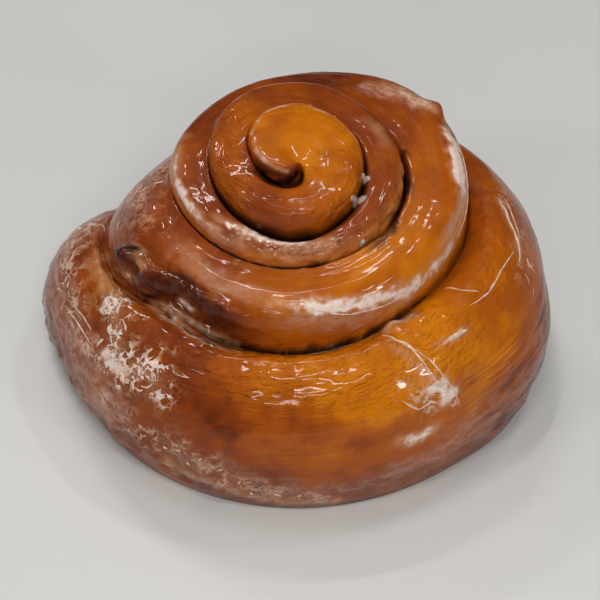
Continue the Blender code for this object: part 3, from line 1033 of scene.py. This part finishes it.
@dataclass
class NodeTree:
    """A short way to add and join shader nodes."""

    tree: bpy.types.NodeTree

    def add(self, kind: str, values: dict | None = None, **settings: object) -> bpy.types.Node:
        """Add a node.

        Args:
            kind: the node's type.
            values: values for its inputs, by name or number. A socket is linked instead.
            settings: values for the node's own settings.

        Returns:
            The new node.
        """
        node = self.tree.nodes.new(kind)
        for name, value in settings.items():
            setattr(node, name, value)
        self.feed(node, values or {})
        return node

    def feed(self, node: bpy.types.Node, values: dict) -> None:
        """Give a node's inputs their values.

        Args:
            node: the node.
            values: values by the input's name or number. A socket is linked instead.
        """
        for name, value in values.items():
            if isinstance(value, Socket):
                self.tree.links.new(value, node.inputs[name])
            else:
                node.inputs[name].default_value = value

    def attribute(self, name: str) -> Socket:
        """Return the value of one of the piece's own attributes."""
        return self.add("ShaderNodeAttribute", attribute_name=name).outputs["Fac"]

    def place(self) -> Socket:
        """Return the piece's Object coordinates."""
        return self.add("ShaderNodeTexCoord").outputs["Object"]

    def math(self, operation: str, a: object, b: object) -> Socket:
        """Return the result of a math node on two values."""
        return self.add("ShaderNodeMath", {0: a, 1: b}, operation=operation).outputs[0]

    def times(self, a: object, b: object) -> Socket:
        """Return one value times another."""
        return self.math("MULTIPLY", a, b)

    def plus(self, *terms: object) -> Socket:
        """Return the sum of two or more values.

        Args:
            terms: the values, which are added in order.

        Returns:
            Their sum.
        """
        total = terms[0]
        for term in terms[1:]:
            total = self.math("ADD", total, term)
        return total

    def vector(self, operation: str, a: object, b: object) -> Socket:
        """Return the result of a vector math node on two values."""
        return self.add("ShaderNodeVectorMath", {0: a, 1: b}, operation=operation).outputs[0]

    def mix(self, share: object, a: object, b: object) -> Socket:
        """Return a mix of two colours."""
        node = self.add("ShaderNodeMix", {"Factor": share, 6: a, 7: b}, data_type="RGBA")
        return node.outputs[2]

    def bump(self, height: object, distance: float, normal: Socket | None = None) -> Socket:
        """Raise the surface by a height.

        Args:
            height: the height, from 0 to 1.
            distance: how far a height of 1 stands out, in metres.
            normal: the normal that the bump lies on, if not the surface's own.

        Returns:
            The new normal.
        """
        values = {"Height": height, "Distance": distance, "Strength": 1.0}
        if normal is not None:
            values["Normal"] = normal
        return self.add("ShaderNodeBump", values).outputs["Normal"]

    def ramp(self, value: object, low: float, high: float) -> Socket:
        """Return a value eased from low..high to 0..1 and held at both ends."""
        values = {"Value": value, "From Min": low, "From Max": high}
        return self.add("ShaderNodeMapRange", values, interpolation_type="SMOOTHSTEP").outputs["Result"]

    def centred(self, value: object, gain: float) -> Socket:
        """Return noise moved to lie round 0."""
        return self.times(self.math("SUBTRACT", value, MIDDLE), gain)

    def noise(self, texture: Texture) -> Socket:
        """Add a noise texture.

        Args:
            texture: its scale, detail, distortion and stretch.

        Returns:
            Its value, from 0 to 1.
        """
        if texture.stretch:
            along = self.times(self.attribute("along"), texture.stretch)
            axes = {"X": along, "Y": self.attribute("girth")}
            vector = self.add("ShaderNodeCombineXYZ", axes).outputs[0]
        else:
            vector = self.place()
        values = {"Vector": vector, "Scale": texture.scale, "Detail": texture.detail}
        return self.add("ShaderNodeTexNoise", {**values, "Distortion": texture.warp}).outputs["Fac"]


def new_material(name: str) -> tuple[bpy.types.Material, NodeTree, bpy.types.Node]:
    """Make a material.

    Args:
        name: the material's name.

    Returns:
        The material, its nodes and its Principled BSDF.
    """
    material = bpy.data.materials.new(name)
    material.use_nodes = True
    return material, NodeTree(material.node_tree), material.node_tree.nodes["Principled BSDF"]


@dataclass(frozen=True)
class CrustFinish:
    """Baked crust under a clear, wet sugar glaze, with white icing set on it, painted shade and painted
    sheen.
    """

    golden: Colour = (0.62, 0.185, 0.003, 1.0)
    amber: Colour = (0.40, 0.090, 0.004, 1.0)
    brown: Colour = (0.24, 0.044, 0.006, 1.0)
    dark: Colour = (0.07, 0.011, 0.003, 1.0)
    # near-black painted shade, laid in the seams, the slits and the hollows
    painted_shade: Colour = (0.010, 0.002, 0.001, 1.0)
    # the milky film's colour, partly a painted sheen of reflected light
    film_and_sheen: Colour = (0.48, 0.27, 0.21, 1.0)
    icing_thin: Colour = (0.56, 0.28, 0.14, 1.0)
    icing_thick: Colour = (0.84, 0.68, 0.62, 1.0)
    crumb_deep: Colour = (0.32, 0.09, 0.025, 1.0)
    crumb_pale: Colour = (0.66, 0.34, 0.14, 1.0)
    specular: float = 0.05
    coat: float = 0.34
    coat_roughness: float = 0.06
    # browning: what it is mottled and streaked with, and where each deeper colour sets in
    mottle: Texture = Texture(240.0, 4.0)
    mottled: float = 0.28
    strands: Texture = Texture(0.9, 4.0, stretch=0.12)
    streaked: Span = (1.8, -0.09)
    furrows: Texture = Texture(0.75, 3.0, stretch=0.06)
    furrow_edge: Span = (0.0, 0.045)
    furrow_brown: float = 0.38
    amber_from: Span = (0.0, 0.38)
    brown_from: Span = (0.35, 0.72)
    dark_from: Span = (0.65, 1.05)
    # the thin milky film, partly a painted sheen of reflected light, and the icing: how each is clouded
    veils: Texture = Texture(0.45, 4.0, 0.6, 0.35)
    wisps: Texture = Texture(900.0, 3.0)
    film_wisps: float = 0.5
    film_edge: Span = (0.25, 0.75)
    icing_patches: Triple = (0.6, 0.35, 0.98)
    cloudiness: Span = (1.5, 0.95)
    thick_from: Span = (0.3, 1.0)
    # the lace: cells whose walls drift, and whose width comes and goes
    drift_scale: float = 380.0
    drift_detail: float = 2.0
    drift: float = 0.005
    cell_scale: float = 540.0
    lace_width: Texture = Texture(300.0, 2.0)
    width_edge: Span = (0.32, 0.70)
    widest: float = 0.30
    lace_edge: Span = (-0.02, 0.14)
    # roughness: that of the wet glaze, and what the film and sheen, the shaded seams and the crumb add
    wet: Span = (0.20, 0.10)
    film_rough: float = 0.25
    seam_rough: float = 0.35
    torn_rough: float = 0.35
    # bumps, with their heights in metres
    puckers: Texture = Texture(500.0, 1.0, 0.3)
    pucker_height: float = 0.0008
    waves: Texture = Texture(0.95, 1.0, 1.0, 0.40)
    wave_height: float = 0.0009
    pores: Texture = Texture(300.0, 1.0, 0.4)
    pore_height: float = 0.0002
    furrow_depth: float = 0.3
    groove_height: float = 0.0008
    sugar_height: float = 0.00015

    def lines(self, nodes: NodeTree, ridged: Socket) -> Socket:
        """Draw the fine furrows between the ridges.

        Args:
            nodes: the material's nodes.
            ridged: how strongly the ridges show.

        Returns:
            How deep in a furrow the place is, 0 to 1.
        """
        off_line = nodes.math("ABSOLUTE", nodes.centred(nodes.noise(self.furrows), 1.0), 0.0)
        between = nodes.times(nodes.ramp(off_line, *self.furrow_edge), ridged)
        return nodes.math("SUBTRACT", ridged, between)

    def crust_colour(self, nodes: NodeTree, mottle: Socket, streaks: Socket, lines: Socket) -> Socket:
        """Colour the bare crust by how brown it is, counting the painted shade of the washes as browning.

        Args:
            nodes: the material's nodes.
            mottle: the fine mottling, 0 to 1.
            streaks: how much the strands add to the browning.
            lines: how deep in a furrow the place is.

        Returns:
            The colour.
        """
        # the washed layer holds browning and painted shade in grooves and hollows
        browned_and_shaded = nodes.plus(nodes.attribute("bake"), nodes.attribute("browned_and_shaded"))
        furrowed = nodes.times(lines, self.furrow_brown)
        baked = nodes.plus(browned_and_shaded, nodes.centred(mottle, self.mottled), streaks, furrowed)
        colour = nodes.mix(nodes.ramp(baked, *self.amber_from), self.golden, self.amber)
        colour = nodes.mix(nodes.ramp(baked, *self.brown_from), colour, self.brown)
        return nodes.mix(nodes.ramp(baked, *self.dark_from), colour, self.dark)

    def lace(self, nodes: NodeTree) -> Socket:
        """Draw the lace of dried icing.

        Args:
            nodes: the material's nodes.

        Returns:
            How thick it lies, 0 to 1.
        """
        place = nodes.place()
        values = {"Vector": place, "Scale": self.drift_scale, "Detail": self.drift_detail}
        drift = nodes.add("ShaderNodeTexNoise", values).outputs["Color"]
        drift = nodes.vector("MULTIPLY", nodes.vector("SUBTRACT", drift, (MIDDLE,) * 3), (self.drift,) * 3)
        values = {"Vector": nodes.vector("ADD", place, drift), "Scale": self.cell_scale}
        cells = nodes.add("ShaderNodeTexVoronoi", values, feature="DISTANCE_TO_EDGE").outputs["Distance"]
        width = nodes.times(nodes.ramp(nodes.noise(self.lace_width), *self.width_edge), self.widest)
        strand = nodes.ramp(nodes.math("SUBTRACT", width, cells), *self.lace_edge)
        return nodes.times(strand, nodes.attribute("web"))

    def sugar(self, nodes: NodeTree, veils: Socket, wisps: Socket, slit_shade: Socket) -> Socket:
        """Lay the icing and its lace, but not in the slits of painted shade.

        Args:
            nodes: the material's nodes.
            veils: the broad clouds, 0 to 1.
            wisps: the fine clouds, 0 to 1.
            slit_shade: how strong the painted shade of a slit is there, where the icing is cut away.

        Returns:
            How thick the icing lies, 0 to 1.
        """
        broad, fine, level = self.icing_patches
        patchy = nodes.plus(nodes.centred(veils, broad), nodes.centred(wisps, fine), level)
        icing = nodes.times(nodes.attribute("icing"), patchy)
        icing = nodes.math("MINIMUM", nodes.math("MAXIMUM", icing, 0.0), 1.0)
        sugar = nodes.math("MAXIMUM", icing, self.lace(nodes))
        return nodes.math("SUBTRACT", sugar, nodes.times(sugar, slit_shade))

    def normal(self, nodes: NodeTree, grooves: Socket, sugar: Socket) -> Socket:
        """Raise the crust's finest relief.

        Args:
            nodes: the material's nodes.
            grooves: the height of the strands less that of the furrows.
            sugar: how thick the icing lies.

        Returns:
            The normal.
        """
        puckers = nodes.times(nodes.noise(self.puckers), nodes.attribute("wrinkle"))
        waves = nodes.times(nodes.noise(self.waves), nodes.attribute("ripple"))
        normal = nodes.bump(puckers, self.pucker_height)
        normal = nodes.bump(waves, self.wave_height, normal)
        normal = nodes.bump(nodes.noise(self.pores), self.pore_height, normal)
        normal = nodes.bump(grooves, self.groove_height, normal)
        return nodes.bump(sugar, self.sugar_height, normal)

    def material(self) -> bpy.types.Material:
        """Make the crust's material.

        Returns:
            The material, which reads the strip's own attributes.
        """
        material, nodes, shader = new_material("glazed_crust_baked")
        torn, ridged, slit_shade = (nodes.attribute(name) for name in ("torn", "ridged", "slit_shade"))
        mottle, strands, veils, wisps = (
            nodes.noise(texture) for texture in (self.mottle, self.strands, self.veils, self.wisps)
        )
        lines = self.lines(nodes, ridged)
        gain, level = self.streaked
        streaks = nodes.times(nodes.centred(strands, 1.0), nodes.plus(nodes.times(ridged, gain), level))
        colour = self.crust_colour(nodes, mottle, streaks, lines)
        clouds = nodes.plus(veils, nodes.centred(wisps, self.film_wisps))
        film_and_sheen = nodes.times(nodes.attribute("milk_and_sheen"), nodes.ramp(clouds, *self.film_edge))
        # painted shade: the seam and slit masks mix in the near-black colour
        seam = nodes.math("MAXIMUM", nodes.attribute("seam"), slit_shade)
        # the milky film, partly a painted sheen
        colour = nodes.mix(film_and_sheen, colour, self.film_and_sheen)
        colour = nodes.mix(torn, colour, nodes.mix(wisps, self.crumb_deep, self.crumb_pale))
        colour = nodes.mix(seam, colour, self.painted_shade)

        sugar = self.sugar(nodes, veils, wisps, slit_shade)
        gain, level = self.cloudiness
        cloudy = nodes.times(sugar, nodes.plus(nodes.centred(wisps, gain), level))
        white = nodes.mix(nodes.ramp(cloudy, *self.thick_from), self.icing_thin, self.icing_thick)
        dull = nodes.plus(nodes.times(film_and_sheen, self.film_rough), nodes.times(seam, self.seam_rough))
        dull = nodes.plus(dull, nodes.times(torn, self.torn_rough))
        gain, level = self.wet
        grooves = nodes.math("SUBTRACT", nodes.times(strands, ridged), nodes.times(lines, self.furrow_depth))
        nodes.feed(shader, {
            "Base Color": nodes.mix(sugar, colour, white),
            "Roughness": nodes.plus(dull, nodes.plus(nodes.times(mottle, gain), level)),
            "Specular IOR Level": self.specular,
            "Coat Weight": self.coat,
            "Coat Roughness": self.coat_roughness,
            "Normal": self.normal(nodes, grooves, sugar),
        })
        return material


@dataclass(frozen=True)
class CloudedSugar:
    """The clouded look that all set sugar and crumb shares, as one node group."""

    clouds: Texture = Texture(700.0, 3.0)
    pale_from: Span = (0.35, 0.65)
    rough_gain: float = 0.25
    rough_level: float = 0.2
    strength: float = 0.6
    height: float = 0.0003
    sockets: tuple[tuple[str, str, str], ...] = (
        ("Warm", "INPUT", "NodeSocketColor"),
        ("Pale", "INPUT", "NodeSocketColor"),
        ("Color", "OUTPUT", "NodeSocketColor"),
        ("Roughness", "OUTPUT", "NodeSocketFloat"),
        ("Normal", "OUTPUT", "NodeSocketVector"),
    )

    def group(self) -> bpy.types.NodeTree:
        """Build the group.

        Returns:
            A group that takes a warm and a pale colour and gives colour, roughness and normal.
        """
        group = bpy.data.node_groups.new("clouded_sugar", "ShaderNodeTree")
        for name, way, kind in self.sockets:
            group.interface.new_socket(name, in_out=way, socket_type=kind)
        nodes = NodeTree(group)
        given = nodes.add("NodeGroupInput").outputs
        cloud = nodes.noise(self.clouds)
        bump = {"Height": cloud, "Strength": self.strength, "Distance": self.height}
        nodes.add("NodeGroupOutput", {
            "Color": nodes.mix(nodes.ramp(cloud, *self.pale_from), given["Warm"], given["Pale"]),
            "Roughness": nodes.plus(nodes.times(cloud, self.rough_gain), self.rough_level),
            "Normal": nodes.add("ShaderNodeBump", bump).outputs["Normal"],
        })
        return group


@dataclass(frozen=True)
class IcingFinish:
    """Set sugar icing, or crumb, clouded from a warm colour to a pale one."""

    name: str = "set_icing"
    pale: Colour = (0.80, 0.63, 0.53, 1.0)
    warm: Colour = (0.58, 0.34, 0.22, 1.0)
    coat: float = 0.5
    coat_roughness: float = 0.12

    def material(self, clouded: bpy.types.NodeTree) -> bpy.types.Material:
        """Make the material.

        Args:
            clouded: the group of clouded sugar.

        Returns:
            The material.
        """
        material, nodes, shader = new_material(self.name)
        sugar = nodes.add("ShaderNodeGroup", {"Warm": self.warm, "Pale": self.pale}, node_tree=clouded)
        nodes.feed(shader, {
            "Base Color": sugar.outputs["Color"],
            "Roughness": sugar.outputs["Roughness"],
            "Coat Weight": self.coat,
            "Coat Roughness": self.coat_roughness,
            "Normal": sugar.outputs["Normal"],
        })
        return material


@dataclass(frozen=True)
class Stroke:
    """One thread, ribbon or drop of icing along a path on the strip, with its sizes in mm."""

    path: Keys
    half_width: float
    height: float
    ragged: float = 0.3


@dataclass(frozen=True)
class Lace:
    """Many short crooked strokes scattered round a path on the strip, with their sizes in mm."""

    path: Keys
    spread: float
    count: int
    length: Span
    half_width: Span
    seed: int


@dataclass
class Icing:
    """The icing that stands on the crust as a body of its own."""

    dough: Dough
    crust: BVHTree
    sides: int = 8
    fewest_rings: int = 4
    ring_step: float = 0.45
    look_ahead: float = 0.3
    sink: float = 0.12
    wobble_size: float = 1.6
    wobble: float = 1.6
    sway_size: float = 2.6
    sway: float = 2.0
    sway_seed: int = 50
    first_seed: int = 30
    seeds_per_lace: int = 100
    lace_steps: int = 7
    lace_bend: float = 0.40
    lace_height: float = 0.25
    lace_ragged: float = 0.5
    threads: tuple[Stroke, ...] = (
        Stroke(((1.945, 0.66), (1.958, 0.7), (1.975, 0.74), (1.99, 0.78), (2.01, 0.81), (2.03, 0.84),
            (2.045, 0.87)), 0.16, 0.16),
        Stroke(((2.228, 0.66), (2.217, 0.7), (2.19, 0.8), (2.163, 0.85), (2.133, 0.89)), 0.2, 0.18),
        Stroke(((3.165, 0.25), (3.158, 0.4), (3.15, 0.463), (3.146, 0.533), (3.142, 0.61),
            (3.138, 0.67)), 0.28, 0.24),
        Stroke(((3.155, 0.44), (3.146, 0.5), (3.139, 0.56), (3.134, 0.63), (3.128, 0.7),
            (3.126, 0.76)), 0.2, 0.2),
        Stroke(((3.17, 0.645), (3.158, 0.7), (3.148, 0.69), (3.142, 0.71)), 0.3, 0.2, 0.6),
        Stroke(((3.121, 0.53), (3.1, 0.533)), 0.35, 0.18, 0.5),
        Stroke(((2.971, 0.444), (2.98, 0.46), (2.99, 0.475), (3.004, 0.529),
            (3.023, 0.552)), 0.35, 0.2, 0.7),
        Stroke(((2.965, 0.48), (2.975, 0.5), (2.99, 0.52), (3.0, 0.55)), 0.18, 0.16, 0.5),
        Stroke(((3.017, 0.51), (3.033, 0.486), (3.044, 0.475), (3.065, 0.479), (3.079, 0.471),
            (3.087, 0.459)), 0.22, 0.22),
        Stroke(((3.083, 0.193), (3.081, 0.371), (3.071, 0.448)), 0.16, 0.18),
        Stroke(((3.475, 0.656), (3.456, 0.649), (3.44, 0.655), (3.429, 0.664)), 0.22, 0.22),
        Stroke(((3.468, 0.62), (3.452, 0.61), (3.436, 0.62)), 0.18, 0.2),
    )
    drops: tuple[Stroke, ...] = (
        Stroke(((1.15, 0.8), (1.146, 0.84), (1.14, 0.88)), 0.9, 0.7, 0.4),
        Stroke(((0.115, 0.84), (0.1, 0.9), (0.09, 0.96), (1.085, 0.06), (1.075, 0.18)), 1.3, 0.7, 0.3),
        Stroke(((0.03, 0.84), (0.03, 0.92), (1.032, 0.05), (1.035, 0.16)), 1.1, 0.6, 0.3),
    )
    crumbs: tuple[Stroke, ...] = (
        Stroke(((2.439, 0.68), (2.435, 0.695), (2.431, 0.71)), 0.3, 0.5, 0.5),
        Stroke(((2.432, 0.675), (2.424, 0.7), (2.418, 0.72)), 0.25, 0.4, 0.4),
        Stroke(((2.45, 0.835), (2.444, 0.85), (2.438, 0.855)), 0.9, 0.5, 0.5),
    )
    laces: tuple[Lace, ...] = (
        Lace(((3.435, 0.5), (3.405, 0.56), (3.39, 0.66), (3.365, 0.6)), 3.8, 22, (1.5, 4.0),
            (0.16, 0.4), 3),
        Lace(((3.396, 0.64), (3.388, 0.68)), 1.4, 6, (1.5, 3.0), (0.3, 0.7), 5),
        Lace(((3.38, 0.8), (3.34, 0.83), (3.3, 0.88), (3.25, 0.94)), 3.2, 12, (1.0, 2.5), (0.15, 0.35), 9),
        Lace(((2.57, 0.42), (2.54, 0.5), (2.5, 0.52)), 5.5, 16, (1.5, 4.0), (0.07, 0.16), 21),
        Lace(((3.55, 0.5), (3.5, 0.58), (3.46, 0.66)), 4.0, 14, (2.0, 5.0), (0.08, 0.2), 23),
        Lace(((2.4, 0.9), (2.36, 0.95), (3.33, 0.28)), 1.5, 8, (1.0, 3.0), (0.08, 0.2), 11),
        Lace(((3.0, 0.5), (3.02, 0.62), (3.04, 0.55)), 2.6, 7, (1.5, 4.0), (0.06, 0.14), 17),
    )

    def spine(self, keys: Keys) -> Array:
        """Return the places of a path's keys in mm, one a row."""
        array = np.array(keys, float)
        return self.dough.winding.places(array[:, 0], array[:, 1])

    def lay(self, bm: bmesh.types.BMesh, spine: Array, stroke: Stroke, seed: int) -> None:
        """Lay one closed stroke on the crust.

        Args:
            bm: the mesh that the stroke is added to.
            spine: places along the middle of the stroke, in mm.
            stroke: its width, height and raggedness.
            seed: shifts its unevenness.
        """
        chords = np.linalg.norm(np.diff(spine, axis=0), axis=1)
        reach = np.concatenate([[0.0], np.cumsum(chords)])
        rings = max(self.fewest_rings, round(reach[-1] / self.ring_step))
        made = bmesh.ops.create_uvsphere(bm, u_segments=self.sides, v_segments=rings, radius=1.0)["verts"]
        form = np.array([vert.co for vert in made])
        round_off = np.hypot(form[:, 0], form[:, 1])
        share = np.arctan2(round_off, -form[:, 2]) / math.pi
        full = round_off ** 0.5 / np.maximum(round_off, NO_STEP)
        at = share * reach[-1]
        middle, ahead, behind = (
            np.column_stack([np.interp(at + shift, reach, spine[:, i]) for i in range(3)])
            for shift in (0.0, self.look_ahead, -self.look_ahead)
        )
        wobble = noise_at(on_line(at), self.wobble_size, seed)
        sway = noise_at(on_line(at), self.sway_size, seed + self.sway_seed)
        width = stroke.half_width * (1 + stroke.ragged * self.wobble * wobble) * full
        for i, vert in enumerate(made):
            _hit, normal, _face, _gap = self.crust.find_nearest(Vector(middle[i]))
            side = normal.cross(Vector(ahead[i] - behind[i])).normalized()
            offset = form[i, 0] * width[i] + sway[i] * stroke.ragged * stroke.half_width * self.sway
            spot, normal, _face, _gap = self.crust.find_nearest(Vector(middle[i]) + side * offset)
            rise = stroke.height * form[i, 1] * full[i]
            vert.co = spot + normal * (rise if form[i, 1] > 0 else -self.sink)

    def scatter(self, bm: bmesh.types.BMesh, lace: Lace) -> None:
        """Scatter a lace's short strokes on the crust.

        Args:
            bm: the mesh that the strokes are added to.
            lace: their path, number, sizes and seed.
        """
        rng = np.random.default_rng(lace.seed)
        spine = self.spine(lace.path)
        for i in range(lace.count):
            j = rng.integers(0, len(spine) - 1)
            start = spine[j] + (spine[j + 1] - spine[j]) * rng.random()
            start = start + rng.normal(0.0, lace.spread * 0.5, 3)
            length = rng.uniform(*lace.length)
            heading = rng.normal(0.0, 1.0, 3)
            points = []
            spot = Vector(start)
            for _step in range(self.lace_steps):
                spot, normal, _face, _gap = self.crust.find_nearest(spot)
                points.append(np.array(spot))
                flat = heading - np.array(normal) * np.dot(heading, np.array(normal))
                heading = flat / max(np.linalg.norm(flat), NO_STEP) + rng.normal(0.0, self.lace_bend, 3)
                spot = spot + Vector(heading) * (length / (self.lace_steps - 1))
            wide = rng.uniform(*lace.half_width)
            stroke = Stroke((), wide, min(wide, self.lace_height), self.lace_ragged)
            self.lay(bm, np.array(points), stroke, lace.seed * self.seeds_per_lace + i)

    def build(
        self, name: str, offset: Vector, strokes: tuple[Stroke, ...], laces: tuple[Lace, ...]
    ) -> bpy.types.Object:
        """Build one piece of icing from strokes and laces.

        Args:
            name: the piece's name.
            offset: how far the winding's own origin is from the frame's, in metres.
            strokes: the strokes laid by their paths.
            laces: the scattered strokes.

        Returns:
            The new object.
        """
        bm = bmesh.new()
        for i, stroke in enumerate(strokes):
            self.lay(bm, self.spine(stroke.path), stroke, self.first_seed + i)
        for lace in laces:
            self.scatter(bm, lace)
        bmesh.ops.recalc_face_normals(bm, faces=bm.faces)
        return finish_mesh(bm, name, offset)


@dataclass(frozen=True)
class FloorFinish:
    """A plain pale floor."""

    colour: Colour = (0.68, 0.70, 0.71, 1.0)
    roughness: float = 0.55

    def material(self) -> bpy.types.Material:
        """Make the floor's material.

        Returns:
            The material.
        """
        material, nodes, shader = new_material("pale_floor")
        nodes.feed(shader, {"Base Color": self.colour, "Roughness": self.roughness})
        return material


@dataclass(frozen=True)
class Lamp:
    """A soft rectangular light that faces the roll, with its place and size in metres."""

    name: str
    place: Triple
    size: Span
    power: float
    colour: Triple = WARM

    def hang(self) -> None:
        """Put the light into the scene."""
        light = bpy.data.lights.new(self.name, "AREA")
        light.shape = "RECTANGLE"
        light.size, light.size_y = self.size
        light.energy = self.power
        light.color = self.colour
        lamp = put(self.name, light)
        lamp.location = self.place
        lamp.rotation_euler = (-Vector(self.place)).to_track_quat("-Z", "Y").to_euler()


@dataclass(frozen=True)
class Studio:
    """The floor, the lights and the camera at the photograph's angle."""

    elevation: float = math.radians(46.0)
    distance: float = 0.380
    target_height: float = 0.018
    pixels_per_mm: float = 4.60
    image_size: float = 600.0
    target_pixel_x: float = 297.0
    sensor_width: float = 36.0
    floor_size: float = 3.0
    room_light: float = 0.04
    # the overhead light, the strips that glint and the soft fills
    lamps: tuple[Lamp, ...] = (
        Lamp("overhead", (-0.14, 0.14, 0.80), (1.20, 1.20), 0.72, WHITE),
        Lamp("back_strip", (-0.08, 0.36, 0.68), (0.22, 0.025), 0.65),
        Lamp("back_left_strip", (-0.26, 0.47, 0.58), (0.12, 0.03), 0.50),
        Lamp("back_right_strip", (0.26, 0.20, 0.73), (0.12, 0.03), 0.45),
        Lamp("top_strip", (-0.12, 0.06, 0.80), (0.22, 0.025), 0.65),
        Lamp("front_strip", (-0.02, -0.26, 0.76), (0.20, 0.03), 0.95),
        Lamp("low_strip", (0.10, -0.46, 0.62), (0.22, 0.03), 0.88),
        Lamp("lowest_strip", (0.05, -0.65, 0.50), (0.20, 0.03), 0.60),
        Lamp("bottom_strip", (-0.12, -0.70, 0.38), (0.26, 0.03), 0.55),
        Lamp("left_front_strip", (-0.52, -0.33, 0.50), (0.14, 0.03), 0.55),
        Lamp("right_front_strip", (0.53, -0.49, 0.34), (0.13, 0.03), 0.65),
        Lamp("left_fill", (-0.80, -0.15, 0.55), (1.20, 1.20), 0.42, WHITE),
        Lamp("right_fill", (0.80, -0.20, 0.50), (1.20, 1.20), 0.38, WHITE),
    )

    def camera(self, offset: Vector) -> None:
        """Set the camera to look down at the roll from the front.

        Args:
            offset: how far the winding's own origin is from the frame's, in metres.
        """
        lens = bpy.data.cameras.new("camera")
        lens.sensor_width = self.sensor_width
        focal_pixels = self.pixels_per_mm * self.distance / MM
        lens.lens = focal_pixels / self.image_size * lens.sensor_width
        lens.shift_x = (self.image_size / 2 - self.target_pixel_x) / self.image_size
        camera = put("camera", lens)
        target = Vector((offset.x, offset.y, self.target_height))
        back = Vector((0.0, -math.cos(self.elevation), math.sin(self.elevation)))
        camera.location = target + back * self.distance
        camera.rotation_euler = (math.pi / 2 - self.elevation, 0.0, 0.0)
        bpy.context.scene.camera = camera

    def lights(self) -> None:
        """Hang the lamps and set a dim, even room round them."""
        for lamp in self.lamps:
            lamp.hang()
        world = bpy.data.worlds.new("soft_room")
        world.use_nodes = True
        ground = world.node_tree.nodes["Background"]
        ground.inputs["Color"].default_value = (*WHITE, 1.0)
        ground.inputs["Strength"].default_value = self.room_light
        bpy.context.scene.world = world

    def floor(self) -> None:
        """Lay the pale floor under the roll."""
        bm = bmesh.new()
        bmesh.ops.create_grid(bm, x_segments=1, y_segments=1, size=self.floor_size / 2)
        mesh = bpy.data.meshes.new("floor")
        bm.to_mesh(mesh)
        bm.free()
        mesh.materials.append(FloorFinish().material())
        floor = put("floor", mesh)


def attach(piece: bpy.types.Object, material: bpy.types.Material) -> None:
    """Give a piece its material and its body, and report it.

    Args:
        piece: the finished piece.
        material: the finish that it wears.
    """
    piece.data.materials.clear()
    piece.data.materials.append(material)
    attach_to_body(piece, BODY)
    LOG.info("%s: %d faces", piece.name, len(piece.data.polygons))


def main() -> None:
    """Build the roll and the studio round it."""
    logging.basicConfig(level=logging.INFO, format="%(name)s %(message)s")
    bpy.context.scene.view_settings.view_transform = "Standard"
    offset = Vector(OFFSET)
    dough = Dough()
    rolled = dough.build(offset)
    attach(rolled, CrustFinish().material())
    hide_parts(NODE)
    icing = Icing(dough, dough.tree)
    clouded = CloudedSugar().group()
    white = IcingFinish().material(clouded)
    for name, strokes, laces, material in (
        ("icing_threads", icing.threads, (), white),
        ("icing_lace", (), icing.laces, white),
        ("glaze_drops", icing.drops, (), IcingFinish("grey_glaze", GREY, GREY_DEEP).material(clouded)),
        ("torn_crumbs", icing.crumbs, (), IcingFinish("torn_crumb", CRUMB, CRUMB_DEEP).material(clouded)),
    ):
        attach(icing.build(name, offset, strokes, laces), material)
    studio = Studio()
    studio.floor()
    studio.lights()
    studio.camera(offset)


if __name__ == "__main__":
    main()
